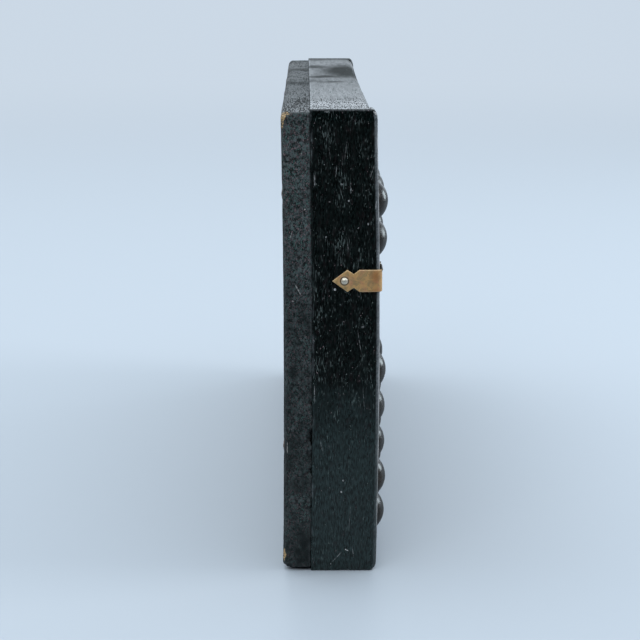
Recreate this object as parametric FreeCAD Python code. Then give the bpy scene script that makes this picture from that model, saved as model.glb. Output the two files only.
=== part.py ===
import FreeCAD, Part
import os

# Bead abacus: a black wooden frame of two decks, nine rods of two and five beads, and a solid backboard.
#
# Millimetres. +X runs along the frame from rod 1 to rod 9, -Y is the bead side, +Z is up along the rods.
# The origin is at the middle of the underside of the whole outline, with the abacus on its long edge.
# Every piece is a separate solid. At rest all beads have dropped: the upper two of each rod lie on the
# beam, and the lower five lie on the bottom rail.

Vector = FreeCAD.Vector

# Frame
FRAME_HEIGHT = 165.0
FRAME_DEPTH = 23.4
POST_WIDTH = 7.5
POST_CORNER_RADIUS = 2.3
POST_EDGE_RADIUS = 1.2
RAIL_HEIGHT = 8.9
RAIL_SETBACK = 1.8
RAIL_OUTER_RADIUS = 4.0
RAIL_INNER_RADIUS = 1.5
BEAM_HEIGHT = 8.9
BEAM_CENTRE_Z = 106.3
BEAM_BACK_GAP = 1.0
BEAM_EDGE_RADIUS = 0.8
TENON_LENGTH = 4.5
TENON_SHOULDER_Y = 5.0
TENON_SHOULDER_Z = 2.0
TENON_CLEARANCE = 0.1

# Rods and beads
ROD_COUNT = 9
ROD_PITCH = 28.6
ROD_RADIUS = 2.3
ROD_SOCKET_DEPTH = 5.5
ROD_FIT = 0.05
ROD_END_CHAMFER = 0.4
BEAD_RADIUS = 12.8
BEAD_THICKNESS = 13.6
BEAD_RIM_RADIUS = 8.4
BEAD_EDGE_RADIUS = 0.8
BEAD_BORE_RADIUS = 2.7
BEAD_BORE_EDGE_RADIUS = 0.4
BEAD_PROUD = 4.0
BEAD_TO_POST_GAP = 1.3
HEAVEN_BEADS = 2
EARTH_BEADS = 5

# Backboard and its nails
BOARD_THICKNESS = 10.0
BOARD_INSET_X = 0.4
BOARD_INSET_Z = 1.05
BOARD_LONG_EDGE_RADIUS = 2.3
BOARD_END_EDGE_RADIUS = 1.2
NAIL_SHANK_RADIUS = 0.9
NAIL_HEAD_RADIUS = 1.9
NAIL_HEAD_HEIGHT = 0.9
NAIL_BITE = 9.0
RAIL_NAIL_X = (-102.0, -34.0, 34.0, 102.0)
POST_NAIL_Z = (46.0, 136.0)

# Brass straps over the posts at the ends of the beam, and their tacks
STRAP_THICKNESS = 0.7
STRAP_HALF_WIDTH = 3.85
STRAP_NECK_HALF_WIDTH = 2.4
STRAP_FLANK_LENGTH = 16.4
STRAP_FRONT_LENGTH = 20.0
STRAP_TIP_TO_TACK = 4.1
STRAP_TIP_TO_BARB = 5.1
STRAP_TIP_TO_NECK = 7.3
STRAP_TIP_TO_SHOULDER = 9.2
TACK_HEAD_RADIUS = 1.4
TACK_HEAD_HEIGHT = 0.75
TACK_SHANK_RADIUS = 0.6
TACK_SHANK_LENGTH = 6.0

# Places worked out from the driving dimensions
TOTAL_DEPTH = BEAD_PROUD + FRAME_DEPTH + BOARD_THICKNESS
FRONT_Y = BEAD_PROUD - TOTAL_DEPTH / 2
SEAM_Y = FRONT_Y + FRAME_DEPTH
BACK_Y = SEAM_Y + BOARD_THICKNESS
RAIL_FRONT_Y = FRONT_Y + RAIL_SETBACK
BEAM_BACK_Y = SEAM_Y - BEAM_BACK_GAP
ROD_Y = FRONT_Y - BEAD_PROUD + BEAD_RADIUS
FIRST_ROD_X = -ROD_PITCH * (ROD_COUNT - 1) / 2
NUMBERED_RODS = [(k + 1, FIRST_ROD_X + k * ROD_PITCH) for k in range(ROD_COUNT)]
INNER_X = BEAD_RADIUS + BEAD_TO_POST_GAP - FIRST_ROD_X
END_X = INNER_X + POST_WIDTH
POST_MIDDLE_X = INNER_X + POST_WIDTH / 2
TOP_RAIL_Z = FRAME_HEIGHT - RAIL_HEIGHT
BEAM_BOTTOM_Z = BEAM_CENTRE_Z - BEAM_HEIGHT / 2
BEAM_TOP_Z = BEAM_CENTRE_Z + BEAM_HEIGHT / 2
SIDES = {"left": -1, "right": 1}


def box(x, y, z):
    """A box between the two values given for each axis, in either order."""
    low = Vector(min(x), min(y), min(z))
    high = Vector(max(x), max(y), max(z))
    return Part.makeBox(high.x - low.x, high.y - low.y, high.z - low.z, low)


def near(a, b):
    return abs(a - b) < 0.01


def rounded(shape, radius, **places):
    """The shape with a fillet on each edge whose middle point lies at the given x, y or z."""
    chosen = []
    for edge in shape.Edges:
        middle = edge.valueAt((edge.FirstParameter + edge.LastParameter) / 2)
        if all(near(getattr(middle, axis), value) for axis, value in places.items()):
            chosen.append(edge)
    return shape.makeFillet(radius, chosen)


def turned(outline):
    """The solid of revolution of a closed outline in the XZ plane about the Z axis."""
    return Part.Face(outline).revolve(Vector(0, 0, 0), Vector(0, 0, 1), 360)


def tenon(side, y, z, clearance):
    """The tongue on one end of a crosspiece that fills y and z, or with clearance the mortise for it."""
    inset_y = TENON_SHOULDER_Y - clearance
    inset_z = TENON_SHOULDER_Z - clearance
    return box(
        (side * INNER_X, side * (INNER_X + TENON_LENGTH + clearance)),
        (y[0] + inset_y, y[1] - inset_y),
        (z[0] + inset_z, z[1] - inset_z),
    )


def crosspiece_tenons(side, clearance=0.0):
    """The tongues of the three crosspieces at one end, by piece name."""
    return {
        "bottom_rail": tenon(side, (RAIL_FRONT_Y, SEAM_Y), (0, RAIL_HEIGHT), clearance),
        "divider_beam": tenon(side, (FRONT_Y, BEAM_BACK_Y), (BEAM_BOTTOM_Z, BEAM_TOP_Z), clearance),
        "top_rail": tenon(side, (RAIL_FRONT_Y, SEAM_Y), (TOP_RAIL_Z, FRAME_HEIGHT), clearance),
    }


def rod_holes(low_z, high_z):
    """The row of holes that holds the rods in a crosspiece."""
    radius = ROD_RADIUS + ROD_FIT
    return [Part.makeCylinder(radius, high_z - low_z, Vector(x, ROD_Y, low_z)) for _, x in NUMBERED_RODS]


def end_post(side):
    """The upright at one end, rounded at its two bead-side corners and down its outer bead-side edge."""
    post = box((side * INNER_X, side * END_X), (FRONT_Y, SEAM_Y), (0, FRAME_HEIGHT))
    post = rounded(post, POST_CORNER_RADIUS, x=side * POST_MIDDLE_X, y=FRONT_Y)
    post = rounded(post, POST_EDGE_RADIUS, x=side * END_X, y=FRONT_Y)
    return post.cut(list(crosspiece_tenons(side, TENON_CLEARANCE).values()))


def crosspiece(name, body, sockets):
    """A long rail or beam with its tongue at each end and its rod holes cut."""
    body = body.fuse([crosspiece_tenons(side)[name] for side in SIDES.values()])
    return body.cut(sockets)


def top_rail():
    body = box((-INNER_X, INNER_X), (RAIL_FRONT_Y, SEAM_Y), (TOP_RAIL_Z, FRAME_HEIGHT))
    body = rounded(body, RAIL_OUTER_RADIUS, x=0, y=RAIL_FRONT_Y, z=FRAME_HEIGHT)
    body = rounded(body, RAIL_INNER_RADIUS, x=0, y=RAIL_FRONT_Y, z=TOP_RAIL_Z)
    return crosspiece("top_rail", body, rod_holes(TOP_RAIL_Z, TOP_RAIL_Z + ROD_SOCKET_DEPTH))


def bottom_rail():
    body = box((-INNER_X, INNER_X), (RAIL_FRONT_Y, SEAM_Y), (0, RAIL_HEIGHT))
    body = rounded(body, RAIL_OUTER_RADIUS, x=0, y=RAIL_FRONT_Y, z=0)
    body = rounded(body, RAIL_INNER_RADIUS, x=0, y=RAIL_FRONT_Y, z=RAIL_HEIGHT)
    return crosspiece("bottom_rail", body, rod_holes(RAIL_HEIGHT - ROD_SOCKET_DEPTH, RAIL_HEIGHT))


def divider_beam():
    """The bar between the two decks, which every rod passes through."""
    body = box((-INNER_X, INNER_X), (FRONT_Y, BEAM_BACK_Y), (BEAM_BOTTOM_Z, BEAM_TOP_Z))
    body = rounded(body, BEAM_EDGE_RADIUS, x=0, y=FRONT_Y)
    return crosspiece("divider_beam", body, rod_holes(BEAM_BOTTOM_Z, BEAM_TOP_Z))


def rod(x):
    """A round rod from its socket in the bottom rail to its socket in the top one."""
    low_z = RAIL_HEIGHT - ROD_SOCKET_DEPTH
    shape = Part.makeCylinder(ROD_RADIUS, FRAME_HEIGHT - 2 * low_z, Vector(x, ROD_Y, low_z))
    rims = [edge for edge in shape.Edges if isinstance(edge.Curve, Part.Circle)]
    return shape.makeChamfer(ROD_END_CHAMFER, rims)


def bead():
    """One turned bead, centred at the origin, with flat faces, a round rim and a loose bore along Z."""
    half = BEAD_THICKNESS / 2
    face_radius = BEAD_RADIUS - BEAD_RIM_RADIUS + (BEAD_RIM_RADIUS**2 - half**2) ** 0.5
    low_outer = Vector(face_radius, 0, -half)
    low_inner = Vector(BEAD_BORE_RADIUS, 0, -half)
    high_inner = Vector(BEAD_BORE_RADIUS, 0, half)
    high_outer = Vector(face_radius, 0, half)
    rim = Part.Arc(high_outer, Vector(BEAD_RADIUS, 0, 0), low_outer).toShape()
    sides = Part.makePolygon([low_outer, low_inner, high_inner, high_outer])
    shape = turned(Part.Wire(sides.Edges + [rim]))

    def rims(radius):
        circles = [edge for edge in shape.Edges if isinstance(edge.Curve, Part.Circle)]
        return [edge for edge in circles if near(edge.Curve.Radius, radius)]

    shape = shape.makeFillet(BEAD_EDGE_RADIUS, rims(face_radius))
    return shape.makeFillet(BEAD_BORE_EDGE_RADIUS, rims(BEAD_BORE_RADIUS))


def stacked_beads(x, floor_z, places):
    """The beads of one rod at the given places in a touching stack, where place 0 stands on floor_z."""
    centres = [floor_z + (place + 0.5) * BEAD_THICKNESS for place in places]
    return [bead().translated(Vector(x, ROD_Y, z)) for z in centres]


def backboard():
    """The solid board that closes the back, a little smaller than the frame all round."""
    half_x = END_X - BOARD_INSET_X
    board = box((-half_x, half_x), (SEAM_Y, BACK_Y), (BOARD_INSET_Z, FRAME_HEIGHT - BOARD_INSET_Z))
    board = rounded(board, BOARD_LONG_EDGE_RADIUS, x=0, y=BACK_Y)
    return rounded(board, BOARD_END_EDGE_RADIUS, y=BACK_Y, z=FRAME_HEIGHT / 2)


def board_nail(x, z):
    """A nail driven in from the back, its head flush with the board and its shank in the frame."""
    into_frame = Vector(0, -1, 0)
    head = Part.makeCylinder(NAIL_HEAD_RADIUS, NAIL_HEAD_HEIGHT, Vector(x, BACK_Y, z), into_frame)
    shank_length = BOARD_THICKNESS - NAIL_HEAD_HEIGHT + NAIL_BITE
    shank_start = Vector(x, BACK_Y - NAIL_HEAD_HEIGHT, z)
    return head.fuse(Part.makeCylinder(NAIL_SHANK_RADIUS, shank_length, shank_start, into_frame))


def board_nails():
    """Four nails along each rail and two up each post."""
    rail_z = (RAIL_HEIGHT / 2, FRAME_HEIGHT - RAIL_HEIGHT / 2)
    nails = [board_nail(x, z) for z in rail_z for x in RAIL_NAIL_X]
    return nails + [board_nail(side * POST_MIDDLE_X, z) for side in SIDES.values() for z in POST_NAIL_Z]


def strap_leg(length):
    """One flat leg of a strap along X, from where its bend ends to its barbed point at x = length."""
    upper = [
        (POST_EDGE_RADIUS, STRAP_HALF_WIDTH),
        (length - STRAP_TIP_TO_SHOULDER, STRAP_HALF_WIDTH),
        (length - STRAP_TIP_TO_NECK, STRAP_NECK_HALF_WIDTH),
        (length - STRAP_TIP_TO_BARB, STRAP_HALF_WIDTH),
    ]
    lower = [(x, -z) for x, z in reversed(upper)]
    corners = upper + [(length, 0)] + lower + upper[:1]
    outline = Part.makePolygon([Vector(x, 0, z) for x, z in corners])
    return Part.Face(outline).extrude(Vector(0, -STRAP_THICKNESS, 0))


def beam_strap(side):
    """A thin brass strap bent round a post: one leg back along its outer face, one in along the beam."""
    inner = POST_EDGE_RADIUS
    outer = inner + STRAP_THICKNESS
    front = strap_leg(STRAP_FRONT_LENGTH)
    flank = strap_leg(STRAP_FLANK_LENGTH)
    flank = flank.mirror(Vector(0, 0, 0), Vector(1, -1, 0))
    bend_axis = Vector(inner, inner, -STRAP_HALF_WIDTH)
    bend = Part.makeCylinder(outer, 2 * STRAP_HALF_WIDTH, bend_axis)
    bend = bend.cut(Part.makeCylinder(inner, 2 * STRAP_HALF_WIDTH, bend_axis))
    corner = (-STRAP_THICKNESS, inner)
    bend = bend.common(box(corner, corner, (-STRAP_HALF_WIDTH, STRAP_HALF_WIDTH)))
    strap = front.fuse([flank, bend]).removeSplitter()
    if side > 0:
        strap = strap.mirror(Vector(0, 0, 0), Vector(1, 0, 0))
    return strap.translated(Vector(side * END_X, FRONT_Y, BEAM_CENTRE_Z))


def tack(point, outwards):
    """A round-headed tack whose head stands on point and whose shank goes the other way."""
    dome_radius = (TACK_HEAD_RADIUS**2 + TACK_HEAD_HEIGHT**2) / (2 * TACK_HEAD_HEIGHT)
    halfway = TACK_HEAD_RADIUS / 2
    halfway_height = TACK_HEAD_HEIGHT - dome_radius + (dome_radius**2 - halfway**2) ** 0.5
    corners = [
        Vector(TACK_HEAD_RADIUS, 0, 0),
        Vector(TACK_SHANK_RADIUS, 0, 0),
        Vector(TACK_SHANK_RADIUS, 0, -TACK_SHANK_LENGTH),
        Vector(0, 0, -TACK_SHANK_LENGTH),
        Vector(0, 0, TACK_HEAD_HEIGHT),
    ]
    dome = Part.Arc(corners[-1], Vector(halfway, 0, halfway_height), corners[0]).toShape()
    shape = turned(Part.Wire(Part.makePolygon(corners).Edges + [dome]))
    shape.Placement = FreeCAD.Placement(point, FreeCAD.Rotation(Vector(0, 0, 1), outwards))
    return shape


def strap_tacks(side):
    """The two tacks of one strap: through its flank leg into the post, and its front leg into the beam."""
    flank_y = FRONT_Y + STRAP_FLANK_LENGTH - STRAP_TIP_TO_TACK
    front_x = END_X - STRAP_FRONT_LENGTH + STRAP_TIP_TO_TACK
    return [
        tack(Vector(side * (END_X + STRAP_THICKNESS), flank_y, BEAM_CENTRE_Z), Vector(side, 0, 0)),
        tack(Vector(side * front_x, FRONT_Y - STRAP_THICKNESS, BEAM_CENTRE_Z), Vector(0, -1, 0)),
    ]


def build():
    """Every piece by node name, each as a list of separate solids."""
    nails = board_nails()
    tacks = {name: strap_tacks(side) for name, side in SIDES.items()}
    wood = {f"end_post_{name}": end_post(side) for name, side in SIDES.items()}
    wood["top_rail"] = top_rail()
    wood["bottom_rail"] = bottom_rail()
    wood["divider_beam"] = divider_beam()
    wood["backboard"] = backboard()
    driven_in = nails + tacks["left"] + tacks["right"]
    nodes = {name: shape.cut(driven_in).Solids for name, shape in wood.items()}
    nodes["backboard_nails"] = nails
    for name, side in SIDES.items():
        nodes[f"beam_strap_{name}"] = beam_strap(side).cut(tacks[name]).Solids
        nodes[f"strap_tacks_{name}"] = tacks[name]
    for number, x in NUMBERED_RODS:
        nodes[f"rod_{number}"] = [rod(x)]
        nodes[f"heaven_lower_{number}"] = stacked_beads(x, BEAM_TOP_Z, range(HEAVEN_BEADS - 1))
        nodes[f"heaven_upper_{number}"] = stacked_beads(x, BEAM_TOP_Z, [HEAVEN_BEADS - 1])
        nodes[f"earth_lower_{number}"] = stacked_beads(x, RAIL_HEIGHT, range(EARTH_BEADS - 1))
        nodes[f"earth_top_{number}"] = stacked_beads(x, RAIL_HEIGHT, [EARTH_BEADS - 1])
    return nodes


def main():
    os.makedirs("parts", exist_ok=True)
    for name, solids in build().items():
        shape = solids[0] if len(solids) == 1 else Part.makeCompound(solids)
        shape.exportStep(f"parts/{name}.step")
        print(f"{name}: {len(solids)} solid(s), {shape.Volume:.0f} mm3, valid {shape.isValid()}")


main()
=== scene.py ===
import itertools
import math

import bpy
import numpy as np
from mathutils import Euler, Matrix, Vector

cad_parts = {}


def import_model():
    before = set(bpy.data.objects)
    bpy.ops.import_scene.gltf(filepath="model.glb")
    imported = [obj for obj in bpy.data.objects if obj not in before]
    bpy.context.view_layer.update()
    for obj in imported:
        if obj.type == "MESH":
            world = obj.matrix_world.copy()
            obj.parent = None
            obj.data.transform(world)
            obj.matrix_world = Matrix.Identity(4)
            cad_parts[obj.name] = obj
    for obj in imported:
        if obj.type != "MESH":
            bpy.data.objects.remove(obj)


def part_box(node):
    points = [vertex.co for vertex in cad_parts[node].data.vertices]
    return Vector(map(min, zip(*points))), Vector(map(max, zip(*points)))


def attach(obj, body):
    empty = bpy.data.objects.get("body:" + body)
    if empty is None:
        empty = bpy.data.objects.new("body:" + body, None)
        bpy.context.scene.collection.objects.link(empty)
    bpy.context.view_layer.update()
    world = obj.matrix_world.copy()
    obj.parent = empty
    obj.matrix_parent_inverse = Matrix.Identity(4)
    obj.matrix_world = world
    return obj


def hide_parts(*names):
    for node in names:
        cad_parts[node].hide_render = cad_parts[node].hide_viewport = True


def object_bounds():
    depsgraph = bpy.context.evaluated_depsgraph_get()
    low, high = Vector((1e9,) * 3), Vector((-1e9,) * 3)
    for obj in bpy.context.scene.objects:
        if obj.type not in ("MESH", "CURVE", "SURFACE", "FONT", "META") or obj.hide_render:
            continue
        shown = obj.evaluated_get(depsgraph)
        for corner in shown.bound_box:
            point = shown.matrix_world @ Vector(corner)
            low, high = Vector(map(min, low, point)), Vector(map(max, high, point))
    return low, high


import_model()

# Looks of a bead abacus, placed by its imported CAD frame, in metres.
# +X runs along the rails, -Y is the bead side and +Z is up.

cad_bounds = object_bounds()
MM = 0.001
ROD_COUNT = 9
BEADS = {"heaven": 2, "earth": 5}
X_AXIS = 0
Z_AXIS = 2

# Camera, in front of the left end and looking along the rails
CAMERA_DISTANCE = 521 * MM
CAMERA_SIDE = 10.1 * MM
CAMERA_HEIGHT = 214 * MM
CAMERA_PITCH = math.radians(13.13)
CAMERA_YAW = math.radians(-0.52)
CAMERA_LENS = 87.1
CAMERA_CLIP = (0.01, 60.0)
SENSOR_WIDTH = 36.0

# The floor, the colour behind everything, and how much of the floor reflections leave out
FLOOR_COLOUR = (0.44, 0.485, 0.53)
BACKDROP = (0.60, 0.69, 0.79)
FLOOR_VEIL = 0.6
FLOOR_HALF_SIZE = 14.0

# Soft lights: name, place, size, power in watts and colour
SOFTBOXES = (
    ("window", (0.35, 0.75, 1.1), 1.1, 5, (0.93, 0.97, 1.0)),
    ("side", (0.72, -0.96, 0.25), 0.34, 2.2, (0.80, 0.93, 1.0)),
    ("bead_side", (-0.05, -1.0, 0.62), 0.40, 4.5, (0.97, 0.98, 1.0)),
    ("front", (-1.0, 0.45, 1.0), 0.8, 2.8, (1.0, 0.98, 0.95)),
)

# How far the old frame has bent towards the bead side at mid height
FRAME_BOW = 0.7 * MM

# Shape of the worn edges round the ends, from 0 for a round edge to 1 for a flat chamfer
EDGE_FLATNESS = 0.6

# Unevenness of the old timber: the width of each kind across the grain, and its height or depth
GRAIN_STRETCH = 14
SWELL_WIDTH = 34 * MM
SWELL_HEIGHT = 0.09 * MM
GROOVE_WIDTH = 1.7 * MM
GROOVE_DEPTH = 0.012 * MM
DENT_WIDTH = 6.5 * MM
DENT_DEPTH = 0.10 * MM

# Dull patches in the far half of the top, in mm: reach from the left end, y, half sizes and strength
DULL_PATCHES = (
    (180, -8, 27, 8, 2.2), (147, 2, 7, 9, 1.0), (121, 0, 4, 6, 0.7), (205, 11, 9, 11, 1.2),
    (127, 14, 7, 8, 0.9), (268, 0, 11, 60, 0.5),
)

# Large odd factors that scramble a cell and a seed into a repeatable random value
CELL_FACTORS = (73856093, 19349663, 83492791)
SEED_FACTOR = 2654435761
MIX_FACTORS = (1274126177, 2246822519)
LOW_BITS = 0xFFFFFFFF


# Numbers that vary smoothly over a surface --------

def smooth_noise(points, seed):
    """Random values from -1 to 1 that change smoothly over cells one unit wide."""
    base = np.floor(points).astype(np.int64)
    within = points - base
    within = within * within * (3 - 2 * within)
    total = np.zeros(len(points))
    for corner in itertools.product((0, 1), repeat=3):
        cell = base + corner
        code = seed * SEED_FACTOR
        for axis, factor in enumerate(CELL_FACTORS):
            code = code ^ cell[:, axis] * factor
        code = (code & LOW_BITS) * MIX_FACTORS[0] & LOW_BITS
        code = (code ^ code >> 15) * MIX_FACTORS[1] & LOW_BITS
        weight = np.prod(np.where(corner, within, 1 - within), axis=1)
        total += weight * ((code >> 8 & 0xFFFF) / 32767.5 - 1)
    return total


def layered_noise(points, seed, layers=3):
    """Smooth noise with finer and weaker layers added."""
    return sum(smooth_noise(points * 2**n, seed + n) / 2**n for n in range(layers))


def ramp(values, low, high):
    """0 below low and 1 above high, with a smooth change between."""
    t = np.clip((values - low) / (high - low), 0, 1)
    return t * t * (3 - 2 * t)


def hill(distance, width):
    """1 where the distance is 0, falling smoothly to nothing over about twice the width."""
    return np.exp(-((distance / width) ** 2))


# Mesh building --------

def new_object(name, data):
    """An object in the scene that shows the given data."""
    thing = bpy.data.objects.new(name, data)
    bpy.context.scene.collection.objects.link(thing)
    return thing


def new_piece(name, points, faces, material, body, replaces=(), attributes=None):
    """A smooth mesh that rides on a body, with optional values per point for its material."""
    mesh = bpy.data.meshes.new(name)
    mesh.from_pydata(np.asarray(points).tolist(), [], np.asarray(faces, dtype=object).tolist())
    mesh.validate()
    mesh.polygons.foreach_set("use_smooth", [True] * len(mesh.polygons))
    mesh.materials.append(material)
    for key, values in (attributes or {}).items():
        layer = mesh.attributes.new(key, "FLOAT", "POINT")
        layer.data.foreach_set("value", np.asarray(values, dtype=np.float32))
    piece = new_object(name, mesh)
    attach(piece, body)
    if replaces:
        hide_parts(*replaces)


def point_normals(points, quads):
    """Unit normals at the points of a mesh of quads."""
    corners = points[quads]
    across = np.cross(corners[:, 2] - corners[:, 0], corners[:, 3] - corners[:, 1])
    normals = np.zeros_like(points)
    for n in range(4):
        np.add.at(normals, quads[:, n], across)
    return normals / np.maximum(np.linalg.norm(normals, axis=1, keepdims=True), 1e-12)


def steps(low, high, fine, coarse, margin=2.4 * MM, first=0.12 * MM):
    """Positions from low to high, close together within margin of both ends and closest at the ends."""
    near = np.concatenate([[0, first], np.arange(fine, margin, fine)])
    count = max(2, round((high - low - 2 * margin) / coarse) + 1)
    middle = np.linspace(low + margin, high - margin, count)
    return np.concatenate([low + near, middle, high - near[::-1]])


def box_surface(xs, ys, zs):
    """Points and outward quads over the six sides of a box, on a grid of the given positions."""
    shape = (len(xs), len(ys), len(zs))
    on_surface = np.zeros(shape, bool)
    on_surface[[0, -1]] = True
    on_surface[:, [0, -1]] = True
    on_surface[:, :, [0, -1]] = True
    numbers = np.full(shape, -1)
    numbers[on_surface] = np.arange(on_surface.sum())
    i, j, k = np.nonzero(on_surface)
    quads = []
    for axis in range(3):
        for end in (0, -1):
            grid = np.take(numbers, end, axis=axis)
            side = np.stack([grid[:-1, :-1], grid[1:, :-1], grid[1:, 1:], grid[:-1, 1:]], -1).reshape(-1, 4)
            quads.append(side[:, ::-1] if (end == 0) != (axis == 1) else side)
    return np.stack([xs[i], ys[j], zs[k]], 1), np.concatenate(quads)


def round_outline(points, low, high, corners):
    """Rounds the four edges along X of a box of points, each to its own width and height.

    Returns how deep each point was inside the outline, and the directions outwards.
    """
    y, z = points[:, 1], points[:, 2]
    room = np.stack([y - low[1], high[1] - y, z - low[2], high[2] - z])
    outwards = np.array([(0, -1, 0), (0, 1, 0), (0, 0, -1), (0, 0, 1)], float)[room.argmin(0)]
    for (side_y, side_z), size in corners.items():
        size = np.array(size)
        centre = np.where((side_y < 0, side_z < 0), low[1:] + size, high[1:] - size)
        away = (points[:, 1:] - centre) / size
        inside = (away[:, 0] * side_y > 0) & (away[:, 1] * side_z > 0)
        away = away[inside]
        slope = away / size
        outwards[inside, 1:] = slope / np.linalg.norm(slope, axis=1, keepdims=True)
        shrink = np.abs(away).max(1, keepdims=True) / np.linalg.norm(away, axis=1, keepdims=True)
        points[inside, 1:] = centre + away * shrink * size
    return room.min(0), outwards


def round_end(points, depth, outwards, end_x, into_x, radius):
    """Rounds the edges round one X end of a box of points, where radius may vary from point to point."""
    width = (points[:, 0] - end_x) * into_x
    near = (depth < radius) & (width < radius)
    across, along_x = radius[near] - depth[near], radius[near] - width[near]
    from_centre = EDGE_FLATNESS * (across + along_x) + (1 - EDGE_FLATNESS) * np.hypot(across, along_x)
    keep = radius[near] / from_centre
    new_depth = radius[near] - (radius[near] - depth[near]) * keep
    new_width = radius[near] - (radius[near] - width[near]) * keep
    points[near] -= outwards[near] * (new_depth - depth[near])[:, None]
    points[near, 0] = end_x + into_x * new_width


def bend_at(z):
    """How far the frame has bent towards the bead side at a height, most half way up."""
    middle = (frame_z[0] + frame_z[1]) / 2
    return FRAME_BOW * (1 - ((z - middle) / (frame_z[1] - middle)) ** 2)


def dull_patches(points, high):
    """How dull the top is at each point: patches in its far half, and a brighter near end."""
    reach = (points[:, 0] - left_post_low.x) / MM
    side = points[:, 1] / MM
    warp = 7 * layered_noise(points / (16 * MM, 7 * MM, 30 * MM), 88)
    total = np.zeros(len(points))
    for patch_reach, patch_side, length, width, strength in DULL_PATCHES:
        away = np.hypot((reach - patch_reach - warp) / length, (side - patch_side) / width)
        total = np.maximum(total, strength * hill(away, 1))
    total += 0.12 * ramp(reach, 60, 110) - 0.35 * (1 - ramp(reach, 14, 40))
    return total * (points[:, 2] > high[2] - 4 * MM)


def timber(name, material, corners, end_radius, spacing, grain, seed, span=None, marks=None,
           reshape=None):
    """A wooden piece over the CAD node of its name, with rounded, chipped edges, grooves and marks."""
    low, high = (np.array(v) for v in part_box(name))
    if span is not None:
        low[0], high[0] = span
    points, quads = box_surface(*(steps(low[n], high[n], *spacing[n]) for n in range(3)))
    room = np.sort(np.concatenate([points - low, high - points], 1), axis=1)
    from_edge = room[:, 1]
    raw = points.copy()
    depth, outwards = round_outline(points, low, high, corners)
    at_edge = raw + outwards * depth[:, None]
    for end_x, into_x in ((low[0], 1), (high[0], -1)):
        round_end(points, depth, outwards, end_x, into_x, end_radius(at_edge, outwards, into_x))
    normals = point_normals(points, quads)
    stretch = np.ones(3)
    stretch[grain] = GRAIN_STRETCH
    swells = layered_noise(raw / SWELL_WIDTH, seed) * SWELL_HEIGHT
    grooves = layered_noise(raw / (GROOVE_WIDTH * stretch), seed + 20, 2) * GROOVE_DEPTH
    dents = -ramp(smooth_noise(raw / (DENT_WIDTH * stretch**0.4), seed + 40), 0.7, 1.0) * DENT_DEPTH
    points += normals * (swells + grooves + dents)[:, None]
    points[:, 1] -= bend_at(points[:, 2])
    if reshape:
        reshape(points, raw, low, high)
    rub = layered_noise(raw / (5 * MM), seed + 60)
    # Lighter edges: rubbed paint, and painted highlight where the rounded edges catch the light
    wear = np.clip(hill(from_edge, 0.8 * MM) * (0.50 + 0.4 * rub), 0, 1)
    plain = np.zeros(len(raw))
    on_top = ramp(raw[:, 2], high[2] - 1.2 * MM, high[2] - 0.2 * MM)
    pits = on_top * (1 - 0.75 * ramp(raw[:, 0], left_post_low.x + 14 * MM, left_post_low.x + 70 * MM))
    values = {"wear": wear, "pores": plain + 1, "arris_highlight": plain, "paler_foot": plain, "pits": pits,
              "dull": dull_patches(raw, high)}
    if marks:
        values.update(marks(raw, low, high, rub))
    new_piece(name, points, quads, material, FRAME_BODY, (name,), values)


# Node trees --------

def add(tree, kind, inputs=None, **settings):
    """A shader node with its settings, and its inputs set to a value or linked from a socket."""
    node = tree.nodes.new("ShaderNode" + kind)
    for key, value in settings.items():
        setattr(node, key, value)
    for key, value in (inputs or {}).items():
        if isinstance(value, bpy.types.NodeSocket):
            tree.links.new(value, node.inputs[key])
        else:
            node.inputs[key].default_value = value
    return node


def maths(tree, operation, a, b, clamp=False):
    return add(tree, "Math", {0: a, 1: b}, operation=operation, use_clamp=clamp).outputs[0]


def times(tree, a, b, clamp=False):
    return maths(tree, "MULTIPLY", a, b, clamp)


def plus(tree, a, b, clamp=False):
    return maths(tree, "ADD", a, b, clamp)


def fade(tree, value, low, high, to_low=0.0, to_high=1.0):
    """A value moved smoothly from one range to another, and held at its ends."""
    inputs = {"Value": value, "From Min": low, "From Max": high, "To Min": to_low, "To Max": to_high}
    return add(tree, "MapRange", inputs, interpolation_type="SMOOTHSTEP").outputs["Result"]


def blend(tree, amount, a, b):
    """Colour a turning into colour b by amount."""
    node = add(tree, "Mix", {"Factor": amount}, data_type="RGBA")
    for socket, value in ((node.inputs[6], a), (node.inputs[7], b)):
        if isinstance(value, bpy.types.NodeSocket):
            tree.links.new(value, socket)
        else:
            socket.default_value = (*value, 1)
    return node.outputs[2]


def place(tree, cell, offset=(0, 0, 0)):
    """Object coordinates counted in cells of the given size in millimetres."""
    where = add(tree, "TexCoord").outputs["Object"]
    scale = tuple(1000.0 / size for size in cell)
    return add(tree, "Mapping", {"Vector": where, "Scale": scale, "Location": offset}).outputs[0]


def speckle(tree, cell, detail=2.0, roughness=0.5, offset=(0, 0, 0), distortion=0.0):
    inputs = {"Vector": place(tree, cell, offset), "Scale": 1.0, "Detail": detail, "Roughness": roughness,
              "Distortion": distortion}
    return add(tree, "TexNoise", inputs).outputs["Fac"]


def painted(tree, key):
    return add(tree, "Attribute", attribute_name=key).outputs["Fac"]


def start_material(name):
    material = bpy.data.materials.new(name)
    material.use_nodes = True
    material.node_tree.nodes.clear()
    return material, material.node_tree


def finish_material(tree, inputs, height, distance):
    """Connects the shader, with a bump of the given height field in metres."""
    bump = add(tree, "Bump", {"Height": height, "Distance": distance, "Strength": 1.0})
    shader = add(tree, "BsdfPrincipled", {**inputs, "Normal": bump.outputs[0]})
    add(tree, "OutputMaterial", {"Surface": shader.outputs[0]})


def along(grain, across, length):
    """Cell sizes that are long in the direction of the grain."""
    cell = [across] * 3
    cell[grain] = length
    return tuple(cell)


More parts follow.
